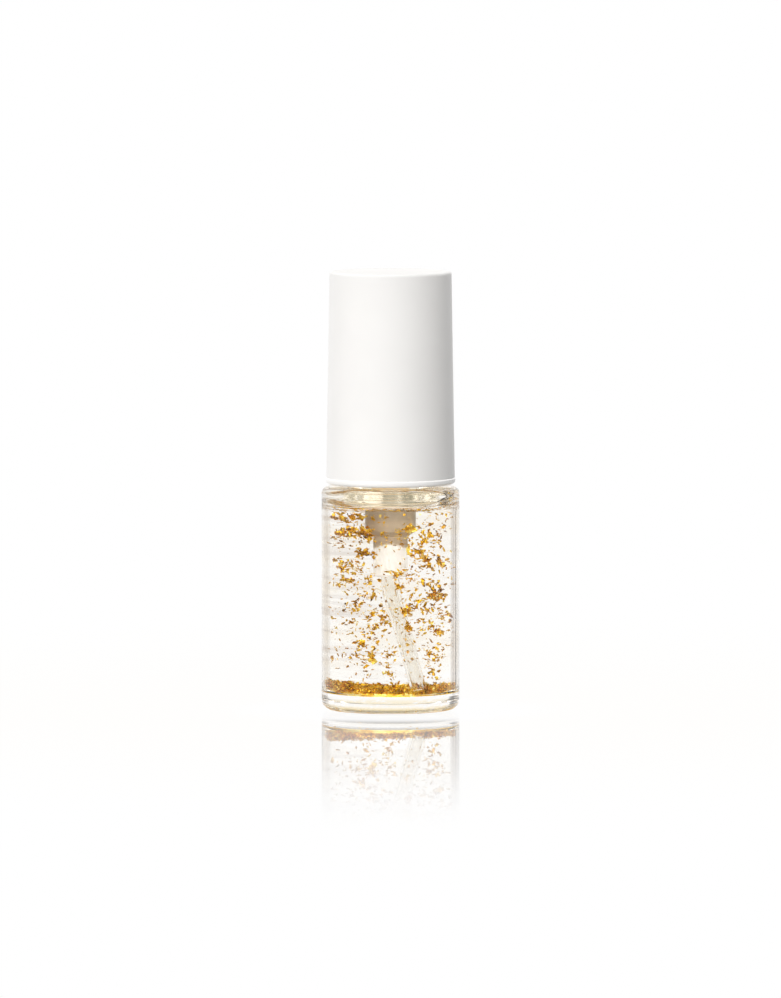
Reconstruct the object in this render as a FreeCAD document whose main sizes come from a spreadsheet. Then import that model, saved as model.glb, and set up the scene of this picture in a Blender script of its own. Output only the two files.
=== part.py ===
"""Treatment-pump vial: a glass cylinder of clear gel with gold leaf, a screw-on pump and an over-cap.

Millimetres, +Z up, the origin at the middle of the resting face, the spout towards -Y.
"""
import FreeCAD, Part
import math
import os

import Sketcher

V = FreeCAD.Vector

SIZES = {
    # glass bottle
    "bottle_rad": 12.5,
    "bottle_wall": 3.4,
    "base_thick": 3.0,
    "base_corner": 1.9,
    "push_up": 0.4,
    "rest_width": 2.2,
    "shoulder_height": 40.5,
    "shoulder_corner": 1.2,
    "shoulder_thick": 1.9,
    "floor_corner": 1.2,
    "roof_corner": 2.4,
    "throat_corner": 0.9,
    "neck_length": 13.5,
    "neck_wall": 2.6,
    "neck_clear": 1.75,
    # screw thread of the neck and the collar
    "thread_pitch": 3.175,
    "thread_depth": 1.0,
    "thread_flank": 0.35,
    "thread_root": 0.1,
    "thread_drop": 7.0,
    "flank_gap": 0.15,
    "neck_thread_crest": 0.9,
    "neck_thread_turns": 1.25,
    "collar_thread_gap": 0.25,
    "collar_thread_crest": 0.7,
    "collar_thread_turns": 1.0,
    "unscrew_turns": 1.5,
    # contents
    "headspace": 1.6,
    "serum_gap": 0.05,
    "sediment_depth": 1.0,
    "flake_count": 48,
    "flake_rad": 0.7,
    "flake_thick": 0.12,
    # clearances between moving pieces
    "run_gap": 0.05,
    "face_gap": 0.05,
    "ball_gap": 0.02,
    # pump housing and what sits in its foot
    "gasket_thick": 0.8,
    "gasket_inset": 0.4,
    "flange_overhang": 0.2,
    "flange_thick": 1.0,
    "pump_rad": 3.45,
    "pump_wall": 0.7,
    "pump_reach": 21.4,
    "pump_taper": 0.9,
    "nose_wall": 1.1,
    "nose_length": 7.3,
    "nose_corner": 0.4,
    "vent_rad": 0.35,
    "vent_depth": 5.5,
    "socket_depth": 3.8,
    "passage_rad": 0.7,
    "passage_length": 1.4,
    "ball_rad": 1.2,
    "ball_room": 0.4,
    "ball_lift": 0.7,
    "retainer_thick": 1.2,
    "retainer_hole_rad": 0.7,
    "retainer_slot": 0.7,
    "retainer_rim": 0.85,
    # dip tube
    "tube_rad": 1.25,
    "tube_wall": 0.45,
    "tube_drop": 0.6,
    "tube_bend": 10.7,
    "tube_wall_gap": 0.25,
    "tube_floor_gap": 0.1,
    "tube_heading": -54.0,
    # plunger
    "stroke": 4.2,
    "piston_slip": 0.8,
    "stem_wall": 0.45,
    "stem_bore_rad": 0.8,
    "waist_wall": 0.6,
    "stop_gap": 0.35,
    "stop_thick": 2.0,
    "port_rad": 0.35,
    "port_height": 1.8,
    "seat_gap": 0.55,
    "seat_thick": 1.2,
    "seat_spigot": 1.2,
    "spring_boss_length": 0.9,
    "piston_length": 3.5,
    "piston_lip": 0.8,
    "piston_hollow": 0.35,
    "piston_recess": 0.35,
    "piston_recess_depth": 2.3,
    "spring_gap": 0.58,
    "spring_wire_rad": 0.22,
    "spring_boss_gap": 0.18,
    "spring_turns": 6.5,
    "outlet_ball_rad": 1.1,
    "outlet_room": 0.25,
    "outlet_lift": 0.5,
    # stem guide
    "guide_depth": 4.3,
    "guide_inset": 1.3,
    "guide_plate_thick": 0.8,
    "tower_wall": 2.35,
    "tower_height": 2.6,
    "tower_corner": 0.4,
    # collar
    "collar_lift": 0.5,
    "collar_gap": 0.2,
    "collar_wall": 1.35,
    "collar_flange_reach": 1.4,
    "collar_flange_thick": 1.0,
    "collar_flange_corner": 0.7,
    "collar_plate_thick": 1.0,
    "collar_top_corner": 0.5,
    "collar_hole_gap": 0.4,
    "bead_gap": 0.15,
    "bead_width": 0.1,
    # over-cap
    "cap_bore_gap": 0.12,
    "cap_foot_wall": 1.18,
    "cap_taper": 0.6,
    "cap_wall": 1.2,
    "cap_headroom": 2.65,
    "cap_roof": 1.3,
    "cap_top_corner": 0.5,
    "cap_foot_corner": 0.12,
    "cap_bore_spare": 1.0,
    "cap_rib_count": 6,
    "cap_rib_width": 0.8,
    "cap_rib_lead": 1.5,
    "cap_rib_root": 0.1,
    # press head and its nozzle
    "head_gap": 1.57,
    "head_height": 13.2,
    "head_wall": 1.2,
    "head_roof": 1.4,
    "head_corner": 0.9,
    "head_clear": 0.5,
    "dish_rad": 30.0,
    "dish_depth": 0.7,
    "boss_wall": 1.05,
    "boss_length": 9.5,
    "stem_socket_depth": 5.0,
    "spout_wall": 0.55,
    "spout_rise": 1.35,
    "spout_gap": 0.57,
    "spout_bore_rad": 0.7,
    "insert_rad": 1.35,
    "insert_length": 1.6,
    "insert_hole_rad": 0.4,
}
ROOT_TWO = math.sqrt(2)
GOLDEN_ANGLE = math.pi * (3 - math.sqrt(5))

doc = FreeCAD.newDocument("treatment_pump_vial")
dims = doc.addObject("Spreadsheet::Sheet", "dims")
for row, (word, value) in enumerate(SIZES.items(), start=1):
    dims.set(f"A{row}", word)
    dims.set(f"B{row}", str(value))
    dims.setAlias(f"B{row}", word)
doc.recompute()


class Size:
    """A size on the sheet, or a sum written with sizes: its expression and its value."""

    def __init__(self, text, value):
        self.text = text
        self.value = value

    def __add__(self, other):
        other = as_size(other)
        return Size(f"({self.text} + {other.text})", self.value + other.value)

    def __sub__(self, other):
        other = as_size(other)
        return Size(f"({self.text} - {other.text})", self.value - other.value)

    def __mul__(self, other):
        other = as_size(other)
        return Size(f"({self.text} * {other.text})", self.value * other.value)

    def __truediv__(self, other):
        other = as_size(other)
        return Size(f"({self.text} / {other.text})", self.value / other.value)

    def __neg__(self):
        return Size(f"(0 - {self.text})", -self.value)


def as_size(number):
    return number if isinstance(number, Size) else Size(f"{number:.12g}", float(number))


def smaller(first, second):
    return Size(f"min({first.text}; {second.text})", min(first.value, second.value))


class Sheet:
    """Reads a cell of the sheet by its alias: d.bottle_rad."""

    def __getattr__(self, word):
        return Size("dims." + word, float(dims.get(word)))


d = Sheet()
AXIS = None

# Pump housing, from its outside in
pump_bore_rad = d.pump_rad - d.pump_wall
nose_rad = d.tube_rad + d.nose_wall
tube_bore_rad = d.tube_rad - d.tube_wall
chamber_rad = d.ball_rad + d.ball_room

# Stem, piston and head, from the ball in the stem's top out
outlet_chamber_rad = d.outlet_ball_rad + d.outlet_room
stem_rad = outlet_chamber_rad + d.stem_wall
waist_rad = d.stem_bore_rad + d.waist_wall
stop_rad = pump_bore_rad - d.stop_gap
seat_rad = pump_bore_rad - d.seat_gap
spring_rad = pump_bore_rad - d.spring_gap - d.spring_wire_rad
spring_boss_rad = spring_rad - d.spring_wire_rad - d.spring_boss_gap
guide_bore_rad = stem_rad + d.run_gap
tower_rad = guide_bore_rad + d.tower_wall
boss_rad = guide_bore_rad + d.boss_wall

# Neck, collar and cap, from the housing out
neck_bore_rad = d.pump_rad + d.neck_clear
neck_rad = neck_bore_rad + d.neck_wall
neck_thread_rad = neck_rad + d.thread_depth
collar_thread_rad = neck_rad + d.collar_thread_gap
collar_bore_rad = neck_thread_rad + d.collar_gap
collar_body_rad = collar_bore_rad + d.collar_wall
collar_flange_rad = collar_body_rad + d.collar_flange_reach
cap_bore_rad = collar_body_rad + d.cap_bore_gap
cap_base_rad = cap_bore_rad + d.cap_foot_wall
cap_top_rad = cap_base_rad - d.cap_taper
gasket_rad = neck_rad - d.gasket_inset
flange_rad = gasket_rad + d.flange_overhang
guide_plate_rad = flange_rad - d.guide_inset

# Inside of the glass
cavity_rad = d.bottle_rad - d.bottle_wall
ledge = cavity_rad - neck_bore_rad
roof_corner = smaller(d.roof_corner, ledge * 0.65)
throat_corner = smaller(d.throat_corner, ledge * 0.25)
tube_reach = cavity_rad - d.tube_rad - d.tube_wall_gap

# Levels up the axis: the bottle and the closure
floor = d.base_thick
sediment_top = floor + d.sediment_depth
roof = d.shoulder_height - d.shoulder_thick
serum_top = roof - d.headspace
neck_top = d.shoulder_height + d.neck_length
neck_thread_height = neck_top - d.thread_drop
gasket_top = neck_top + d.gasket_thick
flange_top = gasket_top + d.flange_thick
guide_top = flange_top + d.guide_plate_thick
tower_top = guide_top + d.tower_height
collar_bottom = d.shoulder_height + d.collar_lift
collar_ledge = collar_bottom + d.collar_flange_thick
collar_ceiling = guide_top + d.face_gap
collar_top = collar_ceiling + d.collar_plate_thick

# Levels: the head and the cap over it
head_bottom = collar_top + d.stroke + d.head_clear
head_top = head_bottom + d.head_height
head_ceiling = head_top - d.head_roof
boss_bottom = head_top - d.boss_length
socket_ceiling = boss_bottom + d.stem_socket_depth
stem_top = socket_ceiling - d.face_gap
channel = stem_top + d.spout_rise
cap_bottom = collar_ledge + d.face_gap
cap_step = collar_top + d.cap_bore_spare
cap_ceiling = head_top + d.cap_headroom
cap_top = cap_ceiling + d.cap_roof

# Levels: the housing, its ball and the tube below it
taper_top = neck_top - d.pump_reach
taper_bottom = taper_top - d.pump_taper
nose_bottom = taper_bottom - d.nose_length
socket_top = nose_bottom + d.socket_depth
inlet_seat = socket_top + d.passage_length
inlet_ball_centre = inlet_seat - d.passage_rad + d.ball_rad * ROOT_TWO + d.ball_gap
pump_shelf = inlet_ball_centre + d.ball_rad + d.ball_lift + d.ball_gap
retainer_top = pump_shelf + d.retainer_thick
tube_end = floor + d.tube_rad * 0.65 + d.tube_floor_gap

# Levels: the plunger, hung from the guide
guide_foot = flange_top - d.guide_depth
stop_top = guide_foot - d.face_gap
stop_bottom = stop_top - d.stop_thick
stem_foot = stop_bottom - d.piston_length - d.piston_slip - d.face_gap - d.face_gap
seat_bottom = stem_foot - d.seat_thick
outlet_ball_centre = socket_ceiling - d.ball_gap - d.outlet_lift - d.outlet_ball_rad
outlet_seat = outlet_ball_centre - d.ball_gap - d.outlet_ball_rad * ROOT_TWO + d.stem_bore_rad

# The cap's draft, and what its narrow end leaves for the head
cap_draft = d.cap_taper / (cap_top - cap_bottom)
cap_step_rad = cap_base_rad - cap_draft * (cap_step - cap_bottom) - d.cap_wall
cap_ceiling_rad = cap_base_rad - cap_draft * (cap_ceiling - cap_bottom) - d.cap_wall
head_rad = cap_ceiling_rad - d.head_gap
spout_reach = cap_ceiling_rad - d.spout_gap
spout_rad = d.insert_rad + d.spout_wall

# The tube bends once under the nose, then runs straight to the foot of the wall
bend_top = nose_bottom - d.tube_drop


def new_body(label):
    body = doc.addObject("PartDesign::Body", "Body_" + label)
    body.Label = label
    return body


def origin_plane(body, role):
    return next(feature for feature in body.Origin.OriginFeatures if feature.Role == role)


def new_sketch(body, name, role, offset=None):
    """A sketch on one of the body's own planes, moved along its normal by offset."""
    sketch = body.newObject("Sketcher::SketchObject", name)
    sketch.AttachmentSupport = [(origin_plane(body, role), "")]
    sketch.MapMode = "FlatFace"
    if offset:
        sketch.AttachmentOffset = FreeCAD.Placement(V(0, 0, offset.value), FreeCAD.Rotation())
        sketch.setExpression("AttachmentOffset.Base.z", offset.text)
    return sketch


def bind(sketch, kind, word, size, *places):
    """A size constraint that reads its value from the sheet."""
    index = sketch.addConstraint(Sketcher.Constraint(kind, *places, size.value))
    sketch.renameConstraint(index, word)
    sketch.setExpression("Constraints." + word, size.text)


def pin_point(sketch, line, end, place, word):
    """Fixes the end of a line at (across, up); AXIS stands for a point on the sketch's own axis."""
    across, up = place
    if across is AXIS:
        sketch.addConstraint(Sketcher.Constraint("PointOnObject", line, end, -2))
    else:
        bind(sketch, "DistanceX", word + "_across", across, -1, 1, line, end)
    if up is AXIS:
        sketch.addConstraint(Sketcher.Constraint("PointOnObject", line, end, -1))
    else:
        bind(sketch, "DistanceY", word + "_up", up, -1, 1, line, end)


def spot(place):
    across, up = place
    return V(across.value if across else 0, up.value if up else 0, 0)


def outline(body, name, points, role="XZ_Plane", offset=None):
    """A closed outline of straight lines through points given as (across, up)."""
    sketch = new_sketch(body, name, role, offset)
    count = len(points)
    for i in range(count):
        sketch.addGeometry(Part.LineSegment(spot(points[i]), spot(points[(i + 1) % count])), False)
    for i in range(count):
        sketch.addConstraint(Sketcher.Constraint("Coincident", i, 2, (i + 1) % count, 1))
    for i, place in enumerate(points):
        pin_point(sketch, i, 1, place, f"corner{i}")
    return sketch


def circles(body, name, role, place, radii, offset=None):
    """A circle, or a ring of two, centred on (across, up)."""
    sketch = new_sketch(body, name, role, offset)
    for i, radius in enumerate(radii):
        sketch.addGeometry(Part.Circle(spot(place), V(0, 0, 1), radius.value), False)
        bind(sketch, "Radius", f"radius{i}", radius, i)
        pin_point(sketch, i, 3, place, f"centre{i}")
    return sketch


def turn(body, name, points, kind="Revolution"):
    """A turned feature: the outline's points are (radius, height)."""
    sketch = outline(body, name + "_outline", points)
    turned = body.newObject("PartDesign::" + kind, name)
    turned.Profile = sketch
    turned.ReferenceAxis = (sketch, ["V_Axis"])
    turned.Angle = 360
    doc.recompute()
    return turned


def block(across, low, high):
    """The four corners of an upright rectangle from the radii in across, between two heights."""
    inner, outer = across
    return [(inner, low), (outer, low), (outer, high), (inner, high)]


def rings(feature, places):
    """The names of the feature's circular edges at these (radius, height) places."""
    wanted = [(place.x, place.y) for place in map(spot, places)]
    found = []
    for number, edge in enumerate(feature.Shape.Edges, start=1):
        if isinstance(edge.Curve, Part.Circle):
            here = (edge.Curve.Radius, edge.Curve.Center.z)
            if any(math.dist(here, place) < 1e-4 for place in wanted):
                found.append(f"Edge{number}")
    if not found:
        raise ValueError(feature.Name + " has no such edge")
    return found


def round_off(body, name, base, radius, places):
    fillet = body.newObject("PartDesign::Fillet", name)
    fillet.Base = (base, rings(base, places))
    fillet.Radius = radius.value
    fillet.setExpression("Radius", radius.text)
    doc.recompute()
    return fillet


def coil(body, name, sketch, pitch, height):
    """Carries the sketch round the vertical axis while it climbs."""
    feature = body.newObject("PartDesign::AdditiveHelix", name)
    feature.Profile = sketch
    feature.ReferenceAxis = (sketch, ["V_Axis"])
    feature.Mode = "pitch-height-angle"
    feature.Pitch = pitch.value
    feature.Height = height.value
    feature.setExpression("Pitch", pitch.text)
    feature.setExpression("Height", height.text)
    doc.recompute()
    return feature


def pad(body, name, sketch, length, reverse=False):
    feature = body.newObject("PartDesign::Pad", name)
    feature.Profile = sketch
    feature.Length = length.value
    feature.setExpression("Length", length.text)
    feature.Reversed = reverse
    doc.recompute()
    return feature


def drill(body, name, sketch, length=None, reverse=False, both_ways=False):
    """A pocket to a length, or right through."""
    before = body.Shape.Volume
    feature = body.newObject("PartDesign::Pocket", name)
    feature.Profile = sketch
    if length:
        feature.Length = length.value
        feature.setExpression("Length", length.text)
    else:
        feature.Type = "ThroughAll"
    feature.Reversed = reverse
    feature.Midplane = both_ways
    doc.recompute()
    if body.Shape.Volume > before - 1e-6:
        raise ValueError(name + " cuts nothing")
    return feature


def around(body, name, feature, axis_sketch, count):
    """Repeats a feature evenly about the vertical axis."""
    pattern = body.newObject("PartDesign::PolarPattern", name)
    pattern.Originals = [feature]
    pattern.Axis = (axis_sketch, ["N_Axis"])
    pattern.Angle = 360
    pattern.Occurrences = int(count.value)
    pattern.setExpression("Occurrences", count.text)
    body.Tip = pattern
    doc.recompute()
    return pattern


def boolean(kind, label, base, tool):
    result = doc.addObject("Part::" + kind, "Solid_" + label)
    result.Base = base
    result.Tool = tool
    result.Label = label
    doc.recompute()
    return result


def cylinder(label, radius, bottom, top, across=None):
    """An upright cylinder, whose axis stands at the (x, y) in across."""
    solid = doc.addObject("Part::Cylinder", "Tool_" + label)
    solid.setExpression("Radius", radius.text)
    solid.setExpression("Height", (top - bottom).text)
    solid.setExpression("Placement.Base.z", bottom.text)
    if across:
        solid.setExpression("Placement.Base.x", across[0].text)
        solid.setExpression("Placement.Base.y", across[1].text)
    doc.recompute()
    return solid


def sphere(label, radius, centre):
    solid = doc.addObject("Part::Sphere", "Ball_" + label)
    solid.Label = label
    solid.setExpression("Radius", radius.text)
    solid.setExpression("Placement.Base.z", centre.text)
    doc.recompute()
    return solid


def thread_section(body, name, root, crest, middle, crest_width, into_wall):
    """A trapezium from just inside the wall at root out to its crest."""
    buried = root + into_wall
    reach = crest - root if crest.value > root.value else root - crest
    half = crest_width / 2
    foot = half + d.thread_flank * (reach + d.thread_root)
    return outline(body, name, [
        (buried, middle - foot),
        (buried, middle + foot),
        (crest, middle + half),
        (crest, middle - half),
    ])


# Bottle: a turned outside with its thread, less the hollow
def make_cavity():
    """The space inside the glass, from the floor to just above the mouth."""
    body = new_body("bottle_cavity")
    above_mouth = neck_top + d.face_gap
    turned = turn(body, "hollow", [
        (AXIS, floor),
        (cavity_rad, floor),
        (cavity_rad, roof),
        (neck_bore_rad, roof),
        (neck_bore_rad, above_mouth),
        (AXIS, above_mouth),
    ])
    rounded = round_off(body, "floor_round", turned, d.floor_corner, [(cavity_rad, floor)])
    rounded = round_off(body, "roof_round", rounded, roof_corner, [(cavity_rad, roof)])
    round_off(body, "throat_round", rounded, throat_corner, [(neck_bore_rad, roof)])
    return body


def make_bottle(cavity):
    body = new_body("bottle_outside")
    turned = turn(body, "glass", [
        (AXIS, d.push_up),
        (d.bottle_rad - d.base_corner - d.rest_width, AXIS),
        (d.bottle_rad, AXIS),
        (d.bottle_rad, d.shoulder_height),
        (neck_rad, d.shoulder_height),
        (neck_rad, neck_top),
        (AXIS, neck_top),
    ])
    rounded = round_off(body, "base_round", turned, d.base_corner, [(d.bottle_rad, AXIS)])
    rounded = round_off(body, "shoulder_round", rounded, d.shoulder_corner,
                        [(d.bottle_rad, d.shoulder_height)])
    section = thread_section(body, "neck_thread_section", neck_rad, neck_thread_rad,
                             neck_thread_height, d.neck_thread_crest, -d.thread_root)
    coil(body, "neck_thread", section, d.thread_pitch, d.thread_pitch * d.neck_thread_turns)
    return boolean("Cut", "bottle", body, cavity)


# Pump housing, its gasket and the pieces in its foot
def make_pump_housing():
    body = new_body("pump_housing")
    turned = turn(body, "shell", [
        (pump_bore_rad, flange_top),
        (flange_rad, flange_top),
        (flange_rad, gasket_top),
        (d.pump_rad, gasket_top),
        (d.pump_rad, taper_top),
        (nose_rad, taper_bottom),
        (nose_rad, nose_bottom),
        (d.tube_rad, nose_bottom),
        (d.tube_rad, socket_top),
        (d.passage_rad, socket_top),
        (d.passage_rad, inlet_seat),
        (chamber_rad, inlet_seat + chamber_rad - d.passage_rad),
        (chamber_rad, pump_shelf),
        (pump_bore_rad, pump_shelf),
    ])
    round_off(body, "nose_round", turned, d.nose_corner, [(nose_rad, nose_bottom)])
    vent = circles(body, "vent_circle", "XZ_Plane", (AXIS, gasket_top - d.vent_depth), [d.vent_rad])
    drill(body, "vent", vent, d.pump_rad)
    return body


def make_neck_gasket():
    body = new_body("neck_gasket")
    turn(body, "washer", block((d.pump_rad, gasket_rad), neck_top, gasket_top))
    return body


def make_spring_retainer():
    """A ring on the shelf of the housing; its slots let the gel past when the ball is up."""
    body = new_body("spring_retainer")
    turn(body, "ring", block((d.retainer_hole_rad, pump_bore_rad), pump_shelf, retainer_top))
    half = d.retainer_slot / 2
    slot_end = pump_bore_rad - d.retainer_rim
    slot = outline(body, "slot_outline", [
        (AXIS, -half),
        (slot_end, -half),
        (slot_end, half),
        (AXIS, half),
    ], role="XY_Plane", offset=retainer_top)
    cut = drill(body, "slot", slot)
    around(body, "slots", cut, slot, as_size(3))
    return body


def make_stem_guide():
    body = new_body("stem_guide")
    turned = turn(body, "guide", [
        (guide_bore_rad, guide_foot),
        (pump_bore_rad, guide_foot),
        (pump_bore_rad, flange_top),
        (guide_plate_rad, flange_top),
        (guide_plate_rad, guide_top),
        (tower_rad, guide_top),
        (tower_rad, tower_top),
        (guide_bore_rad, tower_top),
    ])
    round_off(body, "tower_round", turned, d.tower_corner, [(tower_rad, tower_top)])
    return body


# Dip tube: straight in its socket, a bend outwards, a straight run and a bend back along the glass
def tube_route(body, name, end):
    """The tube's middle line in the body's own XZ plane: down, round one bend, and straight to its end."""
    sketch = new_sketch(body, name, "XZ_Plane")
    bend = d.tube_bend.value
    across, fall = tube_reach.value - bend, end.value - bend_top.value
    lean = math.atan2(fall, across) + math.acos(-bend / math.hypot(across, fall))
    middle = V(bend, bend_top.value, 0)
    bend_start = V(0, bend_top.value, 0)
    run_start = middle - V(math.cos(lean), math.sin(lean), 0) * bend
    sketch.addGeometry(Part.LineSegment(V(0, socket_top.value, 0), bend_start), False)
    round_bend = Part.ArcOfCircle(Part.Circle(middle, V(0, 0, 1), bend), math.pi, math.pi + lean)
    sketch.addGeometry(round_bend, False)
    sketch.addGeometry(Part.LineSegment(run_start, V(tube_reach.value, end.value, 0)), False)
    for joint in ((0, 2, 1, 1), (1, 2, 2, 1)):
        sketch.addConstraint(Sketcher.Constraint("Tangent", *joint))
    bind(sketch, "Radius", "bend_radius", d.tube_bend, 1)
    pin_point(sketch, 0, 1, (AXIS, socket_top), "start")
    pin_point(sketch, 0, 2, (AXIS, bend_top), "bend")
    pin_point(sketch, 2, 2, (tube_reach, end), "end")
    return sketch


def add_tube(body, name, radii, end):
    """A round section, or a ring, carried down the tube's route."""
    route = tube_route(body, name + "_route", end)
    section = circles(body, name + "_section", "XY_Plane", (AXIS, AXIS), radii, offset=socket_top)
    feature = body.newObject("PartDesign::AdditivePipe", name)
    feature.Profile = section
    feature.Spine = (route, ["Edge1", "Edge2", "Edge3"])
    doc.recompute()
    return route


def face_heading(body):
    """Turns a body about the vertical axis to the side where the tube's end lies."""
    body.Placement = FreeCAD.Placement(V(0, 0, 0), FreeCAD.Rotation(V(0, 0, 1), d.tube_heading.value))
    body.setExpression("Placement.Rotation.Angle", d.tube_heading.text)
    doc.recompute()


def make_dip_tube():
    body = new_body("dip_tube")
    route = add_tube(body, "tube", [d.tube_rad, tube_bore_rad], tube_end)
    face_heading(body)
    length = route.Shape.Length
    section = math.pi * (d.tube_rad.value ** 2 - tube_bore_rad.value ** 2)
    if abs(body.Shape.Volume / (length * section) - 1) > 0.01:
        raise ValueError("the dip tube's volume isn't its section times its length")
    return body, route


# Contents: gel around the pump, settled leaf on the floor and leaf that hangs in the gel
def make_pump_space():
    """What the housing and the tube take up in the gel, with a small clearance."""
    body = new_body("pump_space")
    gap = d.serum_gap
    turn(body, "housing_space", [
        (AXIS, nose_bottom - gap),
        (nose_rad + gap, nose_bottom - gap),
        (nose_rad + gap, taper_bottom - gap),
        (d.pump_rad + gap, taper_top - gap),
        (d.pump_rad + gap, neck_top),
        (AXIS, neck_top),
    ])
    add_tube(body, "tube_space", [d.tube_rad + gap], tube_end - gap)
    face_heading(body)
    return body


def make_serum(cavity, pump_space):
    level = cylinder("serum_level", d.bottle_rad, sediment_top, serum_top)
    fill = boolean("Common", "serum_fill", cavity, level)
    return boolean("Cut", "serum", fill, pump_space)


def make_gold_sediment(cavity, pump_space):
    """Leaf that has settled on the floor, with a crater where the tube stands in it."""
    level = cylinder("sediment_level", d.bottle_rad, floor, sediment_top)
    settled = boolean("Common", "settled_leaf", cavity, level)
    return boolean("Cut", "gold_sediment", settled, pump_space)


def make_flake(centre, spin, tilt):
    """A thin six-sided plate."""
    rad, thick = d.flake_rad.value, d.flake_thick.value
    corners = [V(rad * math.cos(k * math.pi / 3), rad * math.sin(k * math.pi / 3), 0) for k in range(7)]
    plate = Part.Face(Part.makePolygon(corners)).extrude(V(0, 0, thick))
    turned = FreeCAD.Rotation(math.degrees(spin), math.degrees(tilt), 0)
    plate.Placement = FreeCAD.Placement(centre, turned)
    return plate


def make_gold_flakes(route):
    """Separate plates spread through the gel, clear of the pump's way out."""
    rad, gap = d.flake_rad.value, d.serum_gap.value
    lowest = sediment_top.value + rad + gap
    highest = serum_top.value - rad - gap
    furthest = cavity_rad.value - rad - throat_corner.value
    lift = (d.thread_pitch * d.unscrew_turns).value
    heading = FreeCAD.Rotation(V(0, 0, 1), d.tube_heading.value)
    line = [heading.multVec(point) for point in route.Shape.copy().discretize(60)]
    centres = []
    plates = []
    step = 0
    while len(plates) < d.flake_count.value and step < 4000:
        step += 1
        angle = step * GOLDEN_ANGLE
        height = lowest + (highest - lowest) * (step * 0.7549 % 1)
        reach = furthest * math.sqrt(step * 0.5698 % 1)
        centre = V(reach * math.cos(angle), reach * math.sin(angle), height)
        by_pump = height > nose_bottom.value - rad and reach < d.pump_rad.value + rad + gap
        by_tube = any(
            V(centre.x - p.x, centre.y - p.y, max(p.z - height, 0, height - p.z - lift)).Length
            < d.tube_rad.value + rad + gap + gap
            for p in line
        )
        by_other = any(centre.distanceToPoint(other) < 2 * rad + gap for other in centres)
        if not (by_pump or by_tube or by_other):
            centres.append(centre)
            plates.append(make_flake(centre, angle, step * 0.4))
    flakes = doc.addObject("Part::Feature", "gold_flakes")
    flakes.Shape = Part.makeCompound(plates)
    flakes.Label = "gold_flakes"
    return flakes


# Plunger: stem, its foot, the sliding piston, the spring and the outlet ball
def make_stem():
    body = new_body("stem")
    chamber_floor = outlet_seat + outlet_chamber_rad - d.stem_bore_rad
    turn(body, "tube", [
        (d.stem_bore_rad, stem_foot),
        (waist_rad, stem_foot),
        (waist_rad, stop_bottom),
        (stop_rad, stop_bottom),
        (stop_rad, stop_top),
        (stem_rad, stop_top),
        (stem_rad, stem_top),
        (outlet_chamber_rad, stem_top),
        (outlet_chamber_rad, chamber_floor),
        (d.stem_bore_rad, outlet_seat),
    ])
    ports = circles(body, "port_circle", "XZ_Plane", (AXIS, stem_foot + d.port_height), [d.port_rad])
    drill(body, "ports", ports, both_ways=True)
    return body


def make_piston_seat():
    """The stem's foot: the piston closes on its disc, and the spring pushes on it."""
    body = new_body("piston_seat")
    turn(body, "seat", [
        (AXIS, seat_bottom - d.spring_boss_length),
        (spring_boss_rad, seat_bottom - d.spring_boss_length),
        (spring_boss_rad, seat_bottom),
        (seat_rad, seat_bottom),
        (seat_rad, stem_foot),
        (d.stem_bore_rad, stem_foot),
        (d.stem_bore_rad, stem_foot + d.seat_spigot),
        (AXIS, stem_foot + d.seat_spigot),
    ])
    return body


def make_piston():
    """A sleeve with a lip at each end; its recess leads the gel to the stem's ports."""
    body = new_body("piston")
    bore = waist_rad + d.run_gap
    lip = pump_bore_rad - d.run_gap
    bottom = stem_foot + d.face_gap
    top = bottom + d.piston_length
    recess = waist_rad + d.piston_recess
    hollow = pump_bore_rad - d.piston_hollow
    turn(body, "sleeve", [
        (recess, bottom),
        (lip, bottom),
        (lip, bottom + d.piston_lip),
        (hollow, bottom + d.piston_lip + d.piston_lip / 2),
        (hollow, top - d.piston_lip - d.piston_lip / 2),
        (lip, top - d.piston_lip),
        (lip, top),
        (bore, top),
        (bore, bottom + d.piston_recess_depth + recess - bore),
        (recess, bottom + d.piston_recess_depth),
    ])
    return body


def make_return_spring():
    body = new_body("return_spring")
    end_gap = d.spring_wire_rad + d.face_gap
    wire = circles(body, "wire", "XZ_Plane", (spring_rad, retainer_top + end_gap), [d.spring_wire_rad])
    height = seat_bottom - retainer_top - end_gap - end_gap
    coil(body, "spring", wire, height / d.spring_turns, height)
    return body


# Screw collar and over-cap
def make_collar():
    body = new_body("collar")
    bead_bottom = neck_top + d.bead_gap
    bead_top = gasket_top - d.face_gap
    bead_rad = gasket_rad + d.bead_width
    hole = tower_rad + d.collar_hole_gap
    turned = turn(body, "closure", [
        (collar_bore_rad, collar_bottom),
        (collar_flange_rad, collar_bottom),
        (collar_flange_rad, collar_ledge),
        (collar_body_rad, collar_ledge),
        (collar_body_rad, collar_top),
        (hole, collar_top),
        (hole, collar_ceiling),
        (collar_bore_rad, collar_ceiling),
        (collar_bore_rad, bead_top),
        (bead_rad, bead_top),
        (bead_rad, bead_bottom),
        (collar_bore_rad, bead_bottom),
    ])
    rounded = round_off(body, "flange_round", turned, d.collar_flange_corner,
                        [(collar_flange_rad, collar_bottom)])
    round_off(body, "top_round", rounded, d.collar_top_corner, [(collar_body_rad, collar_top)])
    half_crests = (d.neck_thread_crest + d.collar_thread_crest) / 2
    overlap = neck_thread_rad - collar_thread_rad
    below = half_crests + d.thread_flank * overlap + d.flank_gap
    section = thread_section(body, "collar_thread_section", collar_bore_rad, collar_thread_rad,
                             neck_thread_height - below, d.collar_thread_crest, d.thread_root)
    coil(body, "collar_thread", section, d.thread_pitch, d.thread_pitch * d.collar_thread_turns)
    return body


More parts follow.
